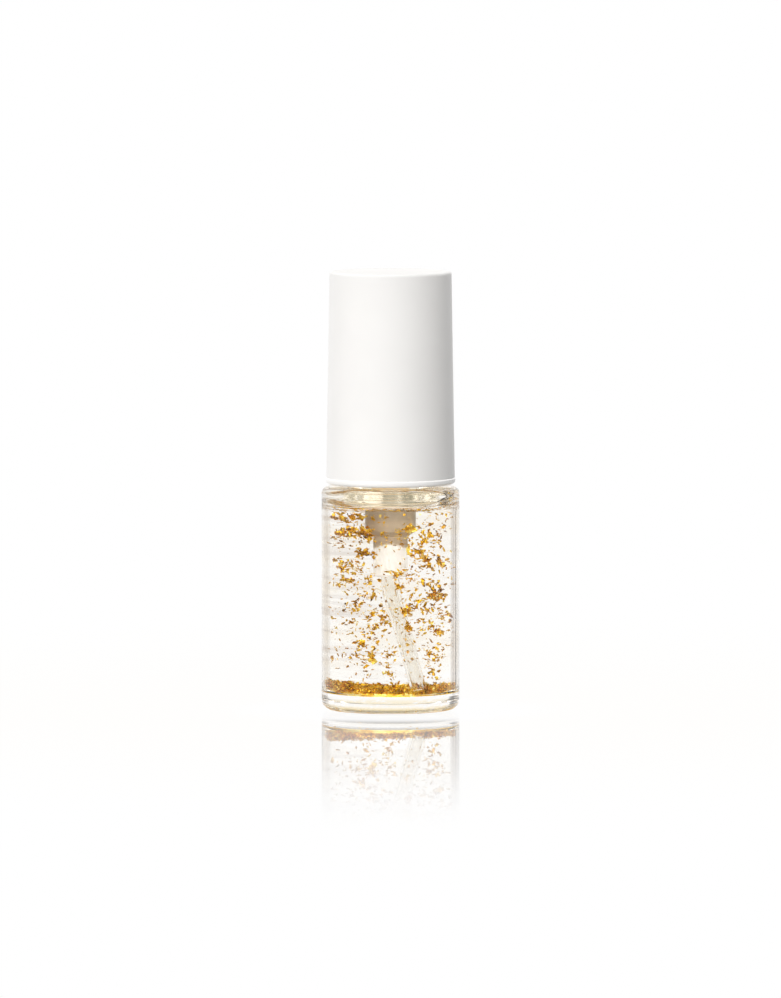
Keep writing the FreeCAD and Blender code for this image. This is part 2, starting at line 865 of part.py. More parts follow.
def make_over_cap():
    body = new_body("over_cap")
    turned = turn(body, "cap", [
        (cap_bore_rad, cap_bottom),
        (cap_base_rad, cap_bottom),
        (cap_top_rad, cap_top),
        (AXIS, cap_top),
        (AXIS, cap_ceiling),
        (cap_ceiling_rad, cap_ceiling),
        (cap_step_rad, cap_step),
        (cap_bore_rad, cap_step),
    ])
    rounded = round_off(body, "top_round", turned, d.cap_top_corner, [(cap_top_rad, cap_top)])
    round_off(body, "foot_round", rounded, d.cap_foot_corner, [(cap_base_rad, cap_bottom)])
    half = d.cap_rib_width / 2
    face = collar_body_rad + d.run_gap
    rib_bottom = cap_bottom + d.cap_rib_lead
    rib = outline(body, "rib_outline", [
        (face, -half),
        (cap_bore_rad + d.cap_rib_root, -half),
        (cap_bore_rad + d.cap_rib_root, half),
        (face, half),
    ], role="XY_Plane", offset=rib_bottom)
    first = pad(body, "rib", rib, collar_top - rib_bottom)
    around(body, "ribs", first, rib, d.cap_rib_count)
    return body


# Press head and nozzle
def make_press_head():
    body = new_body("press_head")
    inner = head_rad - d.head_wall
    turned = turn(body, "shell", [
        (inner, head_bottom),
        (head_rad, head_bottom),
        (head_rad, head_top),
        (AXIS, head_top),
        (AXIS, boss_bottom),
        (boss_rad, boss_bottom),
        (boss_rad, head_ceiling),
        (inner, head_ceiling),
    ])
    round_off(body, "top_round", turned, d.head_corner, [(head_rad, head_top)])
    dish = body.newObject("PartDesign::SubtractiveSphere", "finger_dish")
    dish.setExpression("Radius", d.dish_rad.text)
    dish.setExpression("AttachmentOffset.Base.z", (head_top + d.dish_rad - d.dish_depth).text)
    dish.AttachmentSupport = [(origin_plane(body, "XY_Plane"), "")]
    dish.MapMode = "FlatFace"
    doc.recompute()
    spout = circles(body, "spout_circle", "XZ_Plane", (AXIS, channel), [spout_rad])
    pad(body, "spout", spout, spout_reach)
    turn(body, "stem_socket", block((AXIS, guide_bore_rad), boss_bottom, socket_ceiling), kind="Groove")
    turn(body, "riser", block((AXIS, d.spout_bore_rad), boss_bottom, channel), kind="Groove")
    bore = circles(body, "channel_circle", "XZ_Plane", (AXIS, channel), [d.spout_bore_rad])
    drill(body, "channel", bore, spout_reach, reverse=True)
    seat = circles(body, "seat_circle", "XZ_Plane", (AXIS, channel), [d.insert_rad],
                   offset=spout_reach - d.insert_length)
    drill(body, "insert_seat", seat, d.insert_length, reverse=True)
    return body


def make_spout_insert():
    body = new_body("spout_insert")
    ring = circles(body, "ring", "XZ_Plane", (AXIS, channel), [d.insert_rad, d.insert_hole_rad],
                   offset=spout_reach - d.insert_length)
    pad(body, "insert", ring, d.insert_length)
    return body


cavity_space = make_cavity()
pump_clearance = make_pump_space()
dip_tube, dip_tube_route = make_dip_tube()
pieces = [
    make_bottle(cavity_space),
    make_serum(cavity_space, pump_clearance),
    make_gold_sediment(cavity_space, pump_clearance),
    make_gold_flakes(dip_tube_route),
    make_pump_housing(),
    make_neck_gasket(),
    make_spring_retainer(),
    make_stem_guide(),
    dip_tube,
    sphere("inlet_ball", d.ball_rad, inlet_ball_centre),
    sphere("outlet_ball", d.outlet_ball_rad, outlet_ball_centre),
    make_stem(),
    make_piston_seat(),
    make_piston(),
    make_return_spring(),
    make_collar(),
    make_over_cap(),
    make_press_head(),
    make_spout_insert(),
]
doc.recompute()

for item in doc.Objects:
    if "Invalid" in item.State or "Error" in item.State:
        raise ValueError(f"{item.Name} failed: {item.State}")
for piece in pieces:
    if piece.Shape.isNull() or not piece.Shape.isValid() or not piece.Shape.Solids:
        raise ValueError(piece.Label + " has no valid solid")

os.makedirs("parts", exist_ok=True)
for piece in pieces:
    piece.Shape.exportStep(f"parts/{piece.Label}.step")
    print(f"{piece.Label}: {len(piece.Shape.Solids)} solid(s), {piece.Shape.Volume:.1f} mm3")
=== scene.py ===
import bpy
import math
import random
from mathutils import Matrix, Vector, noise


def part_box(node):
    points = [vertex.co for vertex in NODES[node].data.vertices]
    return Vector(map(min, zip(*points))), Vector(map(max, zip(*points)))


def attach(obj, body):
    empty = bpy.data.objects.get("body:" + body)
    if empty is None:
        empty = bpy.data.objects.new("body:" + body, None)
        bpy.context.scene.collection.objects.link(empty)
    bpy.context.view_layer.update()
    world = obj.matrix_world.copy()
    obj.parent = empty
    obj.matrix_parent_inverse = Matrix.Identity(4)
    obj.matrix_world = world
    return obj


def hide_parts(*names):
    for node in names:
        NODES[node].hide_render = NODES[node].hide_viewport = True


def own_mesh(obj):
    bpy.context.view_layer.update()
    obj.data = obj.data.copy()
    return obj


MM = 0.001

# heights, in mm
CAP_LIP = 42.0
FLANGE_FOOT = 41.02
GEL_LEVEL = 36.92
LEAF_HIGHEST = 36.7
LEAF_LOWEST = 3.9
SETTLED_LOWEST = 3.15
CLEAR_OF_HOUSING_ABOVE = 23.8

# radii, in mm
HOUSING_RAD = 3.45
LEAF_REACH = 9.0

FLOATING_SEED, SETTLED_SEED = 41, 7
CROWDING = 2.7
DRIFTING_SCRAPS, SURFACE_SCRAPS, SETTLED_SCRAPS = 1300, 260, 3200
SHAPE_DRAWS = 97

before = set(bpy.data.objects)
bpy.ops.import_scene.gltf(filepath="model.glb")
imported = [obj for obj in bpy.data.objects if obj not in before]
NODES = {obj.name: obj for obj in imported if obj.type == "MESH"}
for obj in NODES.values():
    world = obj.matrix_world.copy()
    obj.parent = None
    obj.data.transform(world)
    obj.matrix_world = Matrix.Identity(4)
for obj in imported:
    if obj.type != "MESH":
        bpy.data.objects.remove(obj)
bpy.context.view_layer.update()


# ------------------------------------------------------------------ shader sums

class Value:
    """A shader socket. Python's operators on it add Math nodes."""

    def __init__(self, finish, socket):
        self.finish, self.socket = finish, socket

    def out(self, name):
        return Value(self.finish, self.socket.node.outputs[name])

    def sum(self, operation, *terms):
        return self.finish.add("ShaderNodeMath", {"operation": operation}, dict(enumerate(terms)))

    def __add__(self, other):
        return self.sum("ADD", self, other)

    __radd__ = __add__

    def __sub__(self, other):
        return self.sum("SUBTRACT", self, other)

    def __rsub__(self, other):
        return self.sum("SUBTRACT", other, self)

    def __mul__(self, other):
        return self.sum("MULTIPLY", self, other)

    __rmul__ = __mul__

    def __pow__(self, other):
        return self.sum("POWER", self, other)

    def ease(self, low, high):
        """0 below low, 1 above high, and a smooth step between them."""
        return self.finish.add("ShaderNodeMapRange", {"interpolation_type": "SMOOTHSTEP"},
                               {"Value": self, "From Min": low, "From Max": high})


class Finish:
    """A node tree that is filled one node at a time."""

    def __init__(self, owner):
        owner.use_nodes = True
        self.owner, self.tree = owner, owner.node_tree
        self.tree.nodes.clear()

    def add(self, kind, settings=None, sockets=None):
        node = self.tree.nodes.new(kind)
        for key, setting in (settings or {}).items():
            if key == "stops":
                elements = node.color_ramp.elements
                while len(elements) < len(setting):
                    elements.new(0.5)
                for element, (place, colour) in zip(elements, setting):
                    element.position, element.color = place, (*colour, 1.0)
            else:
                setattr(node, key, setting)
        for key, given in (sockets or {}).items():
            if isinstance(given, Value):
                self.tree.links.new(given.socket, node.inputs[key])
            else:
                node.inputs[key].default_value = given
        return Value(self, node.outputs[0]) if node.outputs else node

    def place(self):
        return self.add("ShaderNodeTexCoord").out("Object")

    def parts(self, vector):
        split = self.add("ShaderNodeSeparateXYZ", None, {0: vector})
        return split.out("X"), split.out("Y"), split.out("Z")

    def stretched(self, vector, scale, turn=(0, 0, 0)):
        return self.add("ShaderNodeMapping", None,
                        {"Vector": vector, "Scale": scale, "Rotation": turn})

    def grain(self, vector, per_metre, detail=3.0, rough=0.55, twist=0.0):
        return self.add("ShaderNodeTexNoise", None,
                        {"Vector": vector, "Scale": per_metre, "Detail": detail, "Roughness": rough,
                         "Distortion": twist})

    def cells(self, vector, per_metre, feature="F1"):
        return self.add("ShaderNodeTexVoronoi", {"feature": feature},
                        {"Vector": vector, "Scale": per_metre})

    def ramp(self, factor, stops):
        return self.add("ShaderNodeValToRGB", {"stops": stops}, {"Fac": factor})

    def blend(self, factor, first, second):
        node = self.add("ShaderNodeMix", {"data_type": "RGBA"}).socket.node
        for key, given in ((0, factor), (6, first), (7, second)):
            if isinstance(given, Value):
                self.tree.links.new(given.socket, node.inputs[key])
            else:
                node.inputs[key].default_value = given if key == 0 else (*given, 1.0)
        return Value(self, node.outputs[2])

    def scaled(self, colour, factor):
        return self.add("ShaderNodeVectorMath", {"operation": "SCALE"},
                        {0: colour, "Scale": factor})

    def relief(self, height, depth, strength):
        return self.add("ShaderNodeBump", None,
                        {"Height": height, "Distance": depth, "Strength": strength})

    def bearing(self, x, y):
        """Compass bearing in degrees: 0 is behind the object, and 90 its right."""
        return x.sum("ARCTAN2", x, y) * (180 / math.pi)

    def mixed(self, factor, first, second):
        return self.add("ShaderNodeMixShader", None, {0: factor, 1: first, 2: second})

    def glowing(self, colour):
        return self.add("ShaderNodeEmission", None, {"Color": colour, "Strength": 1.0})

    def backdrop(self, colour):
        return self.add("ShaderNodeBackground", None, {"Color": colour, "Strength": 1.0})

    def surface(self, sockets):
        shader = self.add("ShaderNodeBsdfPrincipled", None, {
            key: (*given, 1.0) if isinstance(given, tuple) else given
            for key, given in sockets.items()})
        self.add("ShaderNodeOutputMaterial", None, {"Surface": shader})
        return self.owner


def finish(name):
    return Finish(bpy.data.materials.new(name))


# ------------------------------------------------------------------ finishes

def clear_glass():
    """Thick moulded glass, with the mould's faint waves, painted brownish shade in the shoulder,
    grazing edges tinted darker with painted shade on the right and a painted dark line there, and a
    painted gold reflection at the foot's outer edge.
    """
    f = finish("clear_glass")
    place = f.place()
    x, _, z = f.parts(place)
    waves = f.grain(f.stretched(place, (1, 1, 0.35)), 120, 2.0)
    # painted shade: the shoulder's glass is tinted a streaked brownish colour, standing in for the
    # shaded collar and room seen through it
    painted_shoulder_shade = z.ease(37.2 * MM, 38.6 * MM) * (1 - z.ease(41.5 * MM, 43.0 * MM))
    streaks = f.grain(f.stretched(place, (60, 60, 900)), 1.0, 3.0)
    tint = f.blend(painted_shoulder_shade * streaks.ease(0.35, 0.65) * 0.9, (0.995, 0.992, 0.985), (0.90, 0.85, 0.73))
    slant = f.add("ShaderNodeLayerWeight", None, {"Blend": 0.5}).out("Facing")
    # Grazing edges are tinted darker, partly the thick glass's own tint and partly painted shade;
    # painted shade makes them darker still on the right side, and a painted dark line runs along
    # them there.
    right = x.ease(-1 * MM, 1 * MM)
    edge = f.blend(right, (0.78, 0.735, 0.68), (0.73, 0.69, 0.655))
    tint = f.blend(slant.ease(0.555, 0.60), tint, edge)
    line = slant.ease(0.55, 0.57) * (1 - slant.ease(0.60, 0.63)) * right * 0.8
    tint = f.blend(line, tint, (0.52, 0.48, 0.46))
    # painted reflection: speckled gold at the foot's lowest edge, standing in for the settled leaf
    # mirrored in the thick base
    specks = f.grain(place, 1100, 3.0, 0.7)
    painted_gold_reflection = (1 - z.ease(0.8 * MM, 1.9 * MM)) * specks.ease(0.32, 0.50)
    tint = f.blend(painted_gold_reflection, tint, (0.95, 0.80, 0.50))
    return f.surface({
        "Base Color": tint, "Roughness": 0.0, "IOR": 1.52, "Transmission Weight": 1.0,
        "Specular Tint": (0.2, 0.2, 0.2),
        "Normal": f.relief(waves, 0.03 * MM, 0.35)})


def clear_gel():
    """Clear gel with a cream cast, drawn out into faint level streaks."""
    f = finish("clear_gel")
    place = f.place()
    broad = f.grain(f.stretched(place, (45, 45, 260)), 1.0, 2.0)
    fine = f.grain(f.stretched(place, (70, 70, 700)), 1.0, 3.0, 0.6)
    cast = f.blend(broad.ease(0.38, 0.62), (0.998, 0.994, 0.985), (0.965, 0.925, 0.85))
    tint = f.blend(fine.ease(0.52, 0.66) * 0.8, cast, (0.92, 0.875, 0.81))
    x, _, z = f.parts(place)
    lines = f.grain(f.stretched(place, (16, 16, 760)), 1.0, 1.0).ease(0.53, 0.60)
    tint = f.blend(lines * (1 - x.ease(-3.5 * MM, -1.0 * MM)), tint, (0.81, 0.76, 0.71))
    flat_top = z.ease(36.3 * MM, 36.7 * MM)
    swirl = f.grain(f.stretched(place, (120, 120, 500)), 1.0, 3.0) * (1 - flat_top)
    return f.surface({
        "Base Color": tint, "Roughness": 0.0, "IOR": 1.33, "Transmission Weight": 1.0,
        "Specular Tint": (0.0, 0.0, 0.0),
        "Normal": f.relief(swirl, 0.02 * MM, 0.3)})


def gold_leaf(name="gold_leaf", deep=0.0):
    """Crumpled leaf, coloured by the same noise that crumples it: painted highlights on the bright
    crests, orange folds and painted shade in the dark brown hollows.
    """
    f = finish(name)
    place = f.place()
    patch = f.grain(place, 520, 2.0, 0.6)
    fold = f.grain(place, 1700, 3.0, 0.65, 0.6)
    tone = patch * 0.62 + fold * 0.38 - deep
    # The ramp paints shade, dark brown, in the hollows and highlights, pale yellow, on the crests.
    colour = f.ramp(tone, [
        (0.37, (0.22, 0.10, 0.003)), (0.42, (0.50, 0.25, 0.006)), (0.47, (0.82, 0.44, 0.012)),
        (0.54, (1.0, 0.66, 0.05)), (0.63, (1.0, 0.88, 0.32))])
    return f.surface({
        "Base Color": colour, "Metallic": 0.85, "Roughness": 0.20 + fold * 0.2,
        "Specular Tint": (1.0, 0.72, 0.16),
        "Normal": f.relief(fold, 0.12 * MM, 0.9)})


def moulded_plastic(name, colour, shade, grain_size=5200, rough=0.32, painted_glow=None):
    """Satin moulded plastic: a fine grain, slow clouding of the tone and small scuffs, with painted
    light as emission where a function for it is given.
    """
    f = finish(name)
    place = f.place()
    grain = f.grain(place, grain_size, 2.0)
    cloud = f.grain(place, 60, 3.0)
    scuffs = f.cells(f.stretched(place, (1, 1, 0.12), (0.3, 0.2, 0.0)), 900, "DISTANCE_TO_EDGE")
    tone = f.blend(cloud.ease(0.35, 0.7), colour, shade)
    return f.surface({
        "Base Color": tone,
        "Roughness": rough + (cloud - 0.5) * 0.10 + (1 - scuffs.ease(0.0, 0.02)) * 0.05,
        # Emission is painted light, from the painted_glow function when one is given.
        "IOR": 1.49, "Emission Color": painted_glow(f, place) if painted_glow else (0.0, 0.0, 0.0),
        "Emission Strength": 1.0,
        "Normal": f.relief(grain, 0.012 * MM, 0.25)})


def painted_seam_glow(f, place):
    """Painted light, as emission, standing in for the light that the thin lip of the cap and the
    flange's top edge let through: a painted bright line along the seam, and the flange below it
    slightly lit.
    """
    _, _, z = f.parts(place)
    foot = (CAP_LIP - 0.10) * MM
    # painted highlight: a bright band along the lip; below it the flange is painted slightly lit
    lip = z.ease(foot, (CAP_LIP - 0.02) * MM) * (
        1 - z.ease((CAP_LIP + 0.06) * MM, (CAP_LIP + 0.16) * MM))
    flange = f.scaled((0.075, 0.075, 0.075), 1 - z.ease(foot, CAP_LIP * MM))
    return f.blend(lip, flange, (0.21, 0.21, 0.21))


def painted_collar_glow(f, place):
    """The lip's painted light, and painted brownish light that stands in for what comes through the
    flange and bore to the glass under them.
    """
    x, y, z = f.parts(place)
    reach = (x * x + y * y) ** 0.5
    below = 1 - z.ease(FLANGE_FOOT * MM, (FLANGE_FOOT + 0.08) * MM)
    under = below * (1 - reach.ease(11.0 * MM, 11.3 * MM))
    bore = (1 - reach.ease(9.3 * MM, 9.8 * MM)) * (1 - z.ease(52.0 * MM, 55.0 * MM))
    # painted light: streaked brownish emission in the bore, a darker brownish one under the flange,
    # and the seam's painted light elsewhere
    streaks = f.grain(f.stretched(place, (90, 90, 700)), 1.0, 2.0)
    painted_tan_light = f.blend(streaks.ease(0.35, 0.65), (0.42, 0.36, 0.26), (0.27, 0.24, 0.18))
    return f.blend(bore, f.blend(under, painted_seam_glow(f, place), (0.27, 0.225, 0.155)), painted_tan_light)


def housing_plastic():
    """Milky plastic, painted a shaded grey-beige in the gel and given painted brownish light above
    it. Below the valve seat it is thin and lets light in: painted light makes it near white and
    glowing there.
    """
    f = finish("pump_plastic")
    place = f.place()
    x, _, z = f.parts(place)
    cloud = f.grain(place, 180, 3.0)
    drawn = f.grain(f.stretched(place, (900, 900, 40)), 1.0, 2.0)
    edge = z + x * x * (0.16 / MM)
    thin = 1 - edge.ease(30.0 * MM, 30.7 * MM)
    seat = 1 - z.ease(30.9 * MM, 31.2 * MM)
    # painted shade: the body is made grey-beige, as the milky plastic looks shaded in the gel
    body = f.blend(cloud.ease(0.35, 0.7), (0.78, 0.62, 0.43), (0.71, 0.56, 0.39))
    ring = z.ease(34.4 * MM, 34.9 * MM) * (1 - z.ease(36.2 * MM, 36.8 * MM))
    body = f.blend(ring * 0.3, body, (0.52, 0.42, 0.29))
    # painted light: near white where the thin part under the valve seat lets light in
    colour = f.blend(thin * seat, body, (0.985, 0.975, 0.955))
    # painted light: brownish emission above the gel, and pale emission below the valve seat
    above = z.ease(37.0 * MM, 37.6 * MM)
    painted_light_above_gel = f.blend(above, (0.0, 0.0, 0.0), (0.40, 0.33, 0.23))
    painted_glow = f.blend(thin * seat, painted_light_above_gel, (0.36, 0.34, 0.30))
    return f.surface({
        "Base Color": colour, "Roughness": 0.42 + drawn * 0.1, "IOR": 1.49,
        "Emission Color": painted_glow, "Emission Strength": 1.0,
        "Normal": f.relief(drawn, 0.02 * MM, 0.3)})


def tube_plastic():
    f = finish("clear_tube")
    place = f.place()
    ripple = f.grain(f.stretched(place, (260, 260, 200)), 1.0, 2.0, 0.5, 1.2)
    tint = f.blend(ripple.ease(0.45, 0.62), (1.0, 0.99, 0.96), (0.975, 0.945, 0.885))
    return f.surface({
        "Base Color": tint, "Roughness": 0.05, "IOR": 1.09, "Transmission Weight": 0.94,
        "Specular Tint": (0.3, 0.3, 0.3),
        "Normal": f.relief(ripple, 0.15 * MM, 0.5)})


def foam():
    """Pale closed foam. Painted light, as emission, stands in for the light that the neck's glass
    leads up to it, so it shows in the shoulder; the painted light is streaked, with a painted
    shadow of the pump in its middle.
    """
    f = finish("gasket_foam")
    place = f.place()
    bubbles = f.cells(place, 2600)
    tone = f.blend(bubbles.ease(0.0, 0.7), (0.78, 0.78, 0.76), (0.92, 0.92, 0.90))
    streaks = f.grain(f.stretched(place, (90, 90, 700)), 1.0, 2.0)
    x, _, _ = f.parts(place)
    # painted shadow: the painted light is brighter beside the pump and darker in the middle, where
    # the pump's shadow would fall
    clear_of_painted_shadow = x.sum("ABSOLUTE", x).ease(3.0 * MM, 4.4 * MM)
    patch = f.blend(clear_of_painted_shadow, (0.22, 0.20, 0.16), (0.46, 0.42, 0.35))
    painted_glow = f.blend(streaks.ease(0.42, 0.58), patch, (0.13, 0.12, 0.09))
    return f.surface({
        "Base Color": tone, "Roughness": 0.85, "Emission Color": painted_glow, "Emission Strength": 1.0,
        "Normal": f.relief(bubbles, 0.05 * MM, 0.7)})


def bright_steel():
    f = finish("steel")
    place = f.place()
    drawn = f.grain(f.stretched(place, (300, 300, 5200)), 1.0, 3.0)
    tone = f.blend(drawn.ease(0.3, 0.7), (0.60, 0.60, 0.61), (0.74, 0.74, 0.75))
    return f.surface({"Base Color": tone, "Metallic": 1.0, "Roughness": 0.16 + drawn * 0.14,
                      "Normal": f.relief(drawn, 0.004 * MM, 0.4)})


GLASS = clear_glass()
GEL = clear_gel()
LEAF = gold_leaf()
BED = gold_leaf("gold_bed", -0.03)
WHITE_TONES = (0.93, 0.925, 0.915), (0.905, 0.90, 0.89)
WHITE = moulded_plastic("white_plastic", *WHITE_TONES, painted_glow=painted_seam_glow)
COLLAR = moulded_plastic("collar_plastic", *WHITE_TONES, painted_glow=painted_collar_glow)
PUMP = housing_plastic()
NATURAL = moulded_plastic("natural_plastic", (0.86, 0.85, 0.82), (0.80, 0.79, 0.76), 3000, 0.34)
PISTON = moulded_plastic("piston_plastic", (0.90, 0.90, 0.885), (0.84, 0.84, 0.83), 2600, 0.5)
TUBE = tube_plastic()
FOAM = foam()
STEEL = bright_steel()

CARRIED = {
    "bottle": GLASS, "over_cap": WHITE, "collar": COLLAR, "press_head": WHITE,
    "spout_insert": WHITE,
    "pump_housing": PUMP, "spring_retainer": NATURAL, "stem_guide": NATURAL, "stem": NATURAL,
    "piston_seat": NATURAL, "piston": PISTON, "neck_gasket": FOAM, "dip_tube": TUBE,
    "inlet_ball": STEEL, "outlet_ball": STEEL,
}
for node_name, material in CARRIED.items():
    for slot in NODES[node_name].material_slots:
        slot.material = material


# ------------------------------------------------------------------ modelling helpers

def clear_choice():
    if bpy.context.object and bpy.context.object.mode != "OBJECT":
        bpy.ops.object.mode_set(mode="OBJECT")
    bpy.ops.object.select_all(action="DESELECT")


def named(name):
    piece = bpy.context.object
    piece.name = piece.data.name = name
    return piece


def choose_faces(piece, wanted):
    """Selects, in edit mode, the faces for which wanted(centre, normal) holds."""
    bpy.ops.object.mode_set(mode="OBJECT")
    for item in (*piece.data.vertices, *piece.data.edges):
        item.select = False
    for face in piece.data.polygons:
        face.select = wanted(face.center, face.normal)
    bpy.ops.object.mode_set(mode="EDIT")
    bpy.ops.mesh.select_mode(type="FACE")


def choose_edges(piece, wanted):
    """Selects, in edit mode, the edges for which wanted(first end, second end) holds."""
    bpy.ops.object.mode_set(mode="OBJECT")
    mesh = piece.data
    for item in (*mesh.vertices, *mesh.polygons):
        item.select = False
    for edge in mesh.edges:
        edge.select = wanted(*(mesh.vertices[i].co for i in edge.vertices))
    bpy.ops.object.mode_set(mode="EDIT")
    bpy.ops.mesh.select_mode(type="EDGE")


def modify(piece, kind, **settings):
    modifier = piece.modifiers.new(kind.title(), kind)
    for key, setting in settings.items():
        setattr(modifier, key, setting)
    bpy.context.view_layer.objects.active = piece
    bpy.ops.object.modifier_apply(modifier=modifier.name)


def settle(piece, material, angle=40):
    """Puts the piece's place into its mesh, smooths it and gives it its finish."""
    clear_choice()
    piece.select_set(True)
    bpy.context.view_layer.objects.active = piece
    bpy.ops.object.transform_apply(location=True, rotation=True, scale=True)
    bpy.ops.object.shade_smooth_by_angle(angle=math.radians(angle))
    piece.data.materials.clear()
    piece.data.materials.append(material)
    return piece


def scatter(name, shapes, places, material):
    """Copies the modelled shapes to the places, each copy with its own mesh, and joins them."""
    copies = []
    for shape_number, matrix in places:
        source = shapes[shape_number % len(shapes)]
        copy = source.copy()
        copy.data = source.data.copy()
        copy.data.transform(matrix)
        bpy.context.scene.collection.objects.link(copy)
        copies.append(copy)
    clear_choice()
    for copy in copies:
        copy.select_set(True)
    bpy.context.view_layer.objects.active = copies[0]
    bpy.ops.object.join()
    piece = named(name)
    return settle(piece, material, 25)


# ------------------------------------------------------------------ gel

def gel_level(across, out):
    """Height of the gel's top above its level, in mm: it clings to the wall and climbs a side."""
    ring = max(0.0, (math.hypot(across, out) - 8.2) / 0.9)
    climb = 0.24 * max(0.0, across - 5.0) ** 1.6
    clings = 0.35 * ring ** 2
    pump = 0.3 * max(0.0, 1 - (math.hypot(across, out) - HOUSING_RAD) / 0.9) ** 2
    ripple = 0.10 * math.sin(across * 0.9 + 0.6) * math.cos(out * 0.7 - 0.4)
    return climb + clings + pump + ripple


def make_gel():
    _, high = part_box("serum")
    bed_low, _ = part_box("gold_sediment")
    rad = high.x + 0.02 * MM
    bottom = bed_low.z - 0.02 * MM
    clear_choice()
    bpy.ops.mesh.primitive_cylinder_add(vertices=160, radius=rad, depth=high.z - bottom,
                                        location=(0, 0, (high.z + bottom) / 2))
    gel = named("gel")
    bpy.ops.object.transform_apply(location=True)
    choose_faces(gel, lambda c, n: n.z > 0.9)
    for step in (0.12, 0.14, 0.18, 0.25, 0.35, 0.6, 0.9, 1.1, 1.2):
        bpy.ops.mesh.inset(thickness=step * MM)
    choose_edges(gel, lambda a, b: abs(a.z - bottom) < 1e-7 and abs(b.z - bottom) < 1e-7)
    bpy.ops.mesh.bevel(offset=1.18 * MM, segments=8, profile=0.5, affect="EDGES")
    bpy.ops.object.mode_set(mode="OBJECT")
    for vertex in gel.data.vertices:
        if vertex.co.z > high.z - 1e-6:
            vertex.co.z += gel_level(vertex.co.x / MM, vertex.co.y / MM) * MM
    settle(gel, GEL, 50)
    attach(gel, "vial")
    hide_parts("serum")


# ------------------------------------------------------------------ gold leaf

def leaf_shape(number, across, along, crumple, trims):
    """One crumpled scrap of leaf, about 1 mm long: a grid with torn corners and a thin wall."""
    chance = random.Random(number * 17 + 3)
    clear_choice()
    bpy.ops.mesh.primitive_grid_add(x_subdivisions=across, y_subdivisions=along, size=1 * MM)
    scrap = named("scrap_%d" % number)
    corners = sorted(scrap.data.polygons,
                     key=lambda p: -p.center.length + chance.uniform(0, 0.15) * MM)
    torn = {tuple(round(v, 8) for v in p.center) for p in corners[:trims]}
    choose_faces(scrap, lambda c, n: tuple(round(v, 8) for v in c) in torn)
    bpy.ops.mesh.delete(type="FACE")
    bpy.ops.object.mode_set(mode="OBJECT")
    for vertex in scrap.data.vertices:
        vertex.co.x = vertex.co.x * 0.8 + chance.uniform(-0.09, 0.09) * MM
        vertex.co.y += chance.uniform(-0.09, 0.09) * MM
        vertex.co.z += chance.uniform(-crumple, crumple) * MM
    modify(scrap, "SOLIDIFY", thickness=0.06 * MM, offset=0.0)
    return scrap


def make_shapes():
    """Scraps for the leaf that floats, and simpler ones for what has settled."""
    return [
        leaf_shape(0, 3, 4, 0.14, 2), leaf_shape(1, 3, 3, 0.20, 1), leaf_shape(2, 2, 4, 0.10, 1),
        leaf_shape(3, 3, 4, 0.24, 3), leaf_shape(4, 2, 3, 0.16, 1), leaf_shape(5, 3, 3, 0.12, 2),
        leaf_shape(6, 1, 4, 0.12, 0)], [
        leaf_shape(7, 2, 2, 0.22, 0), leaf_shape(8, 2, 2, 0.16, 1), leaf_shape(9, 1, 2, 0.15, 0)]


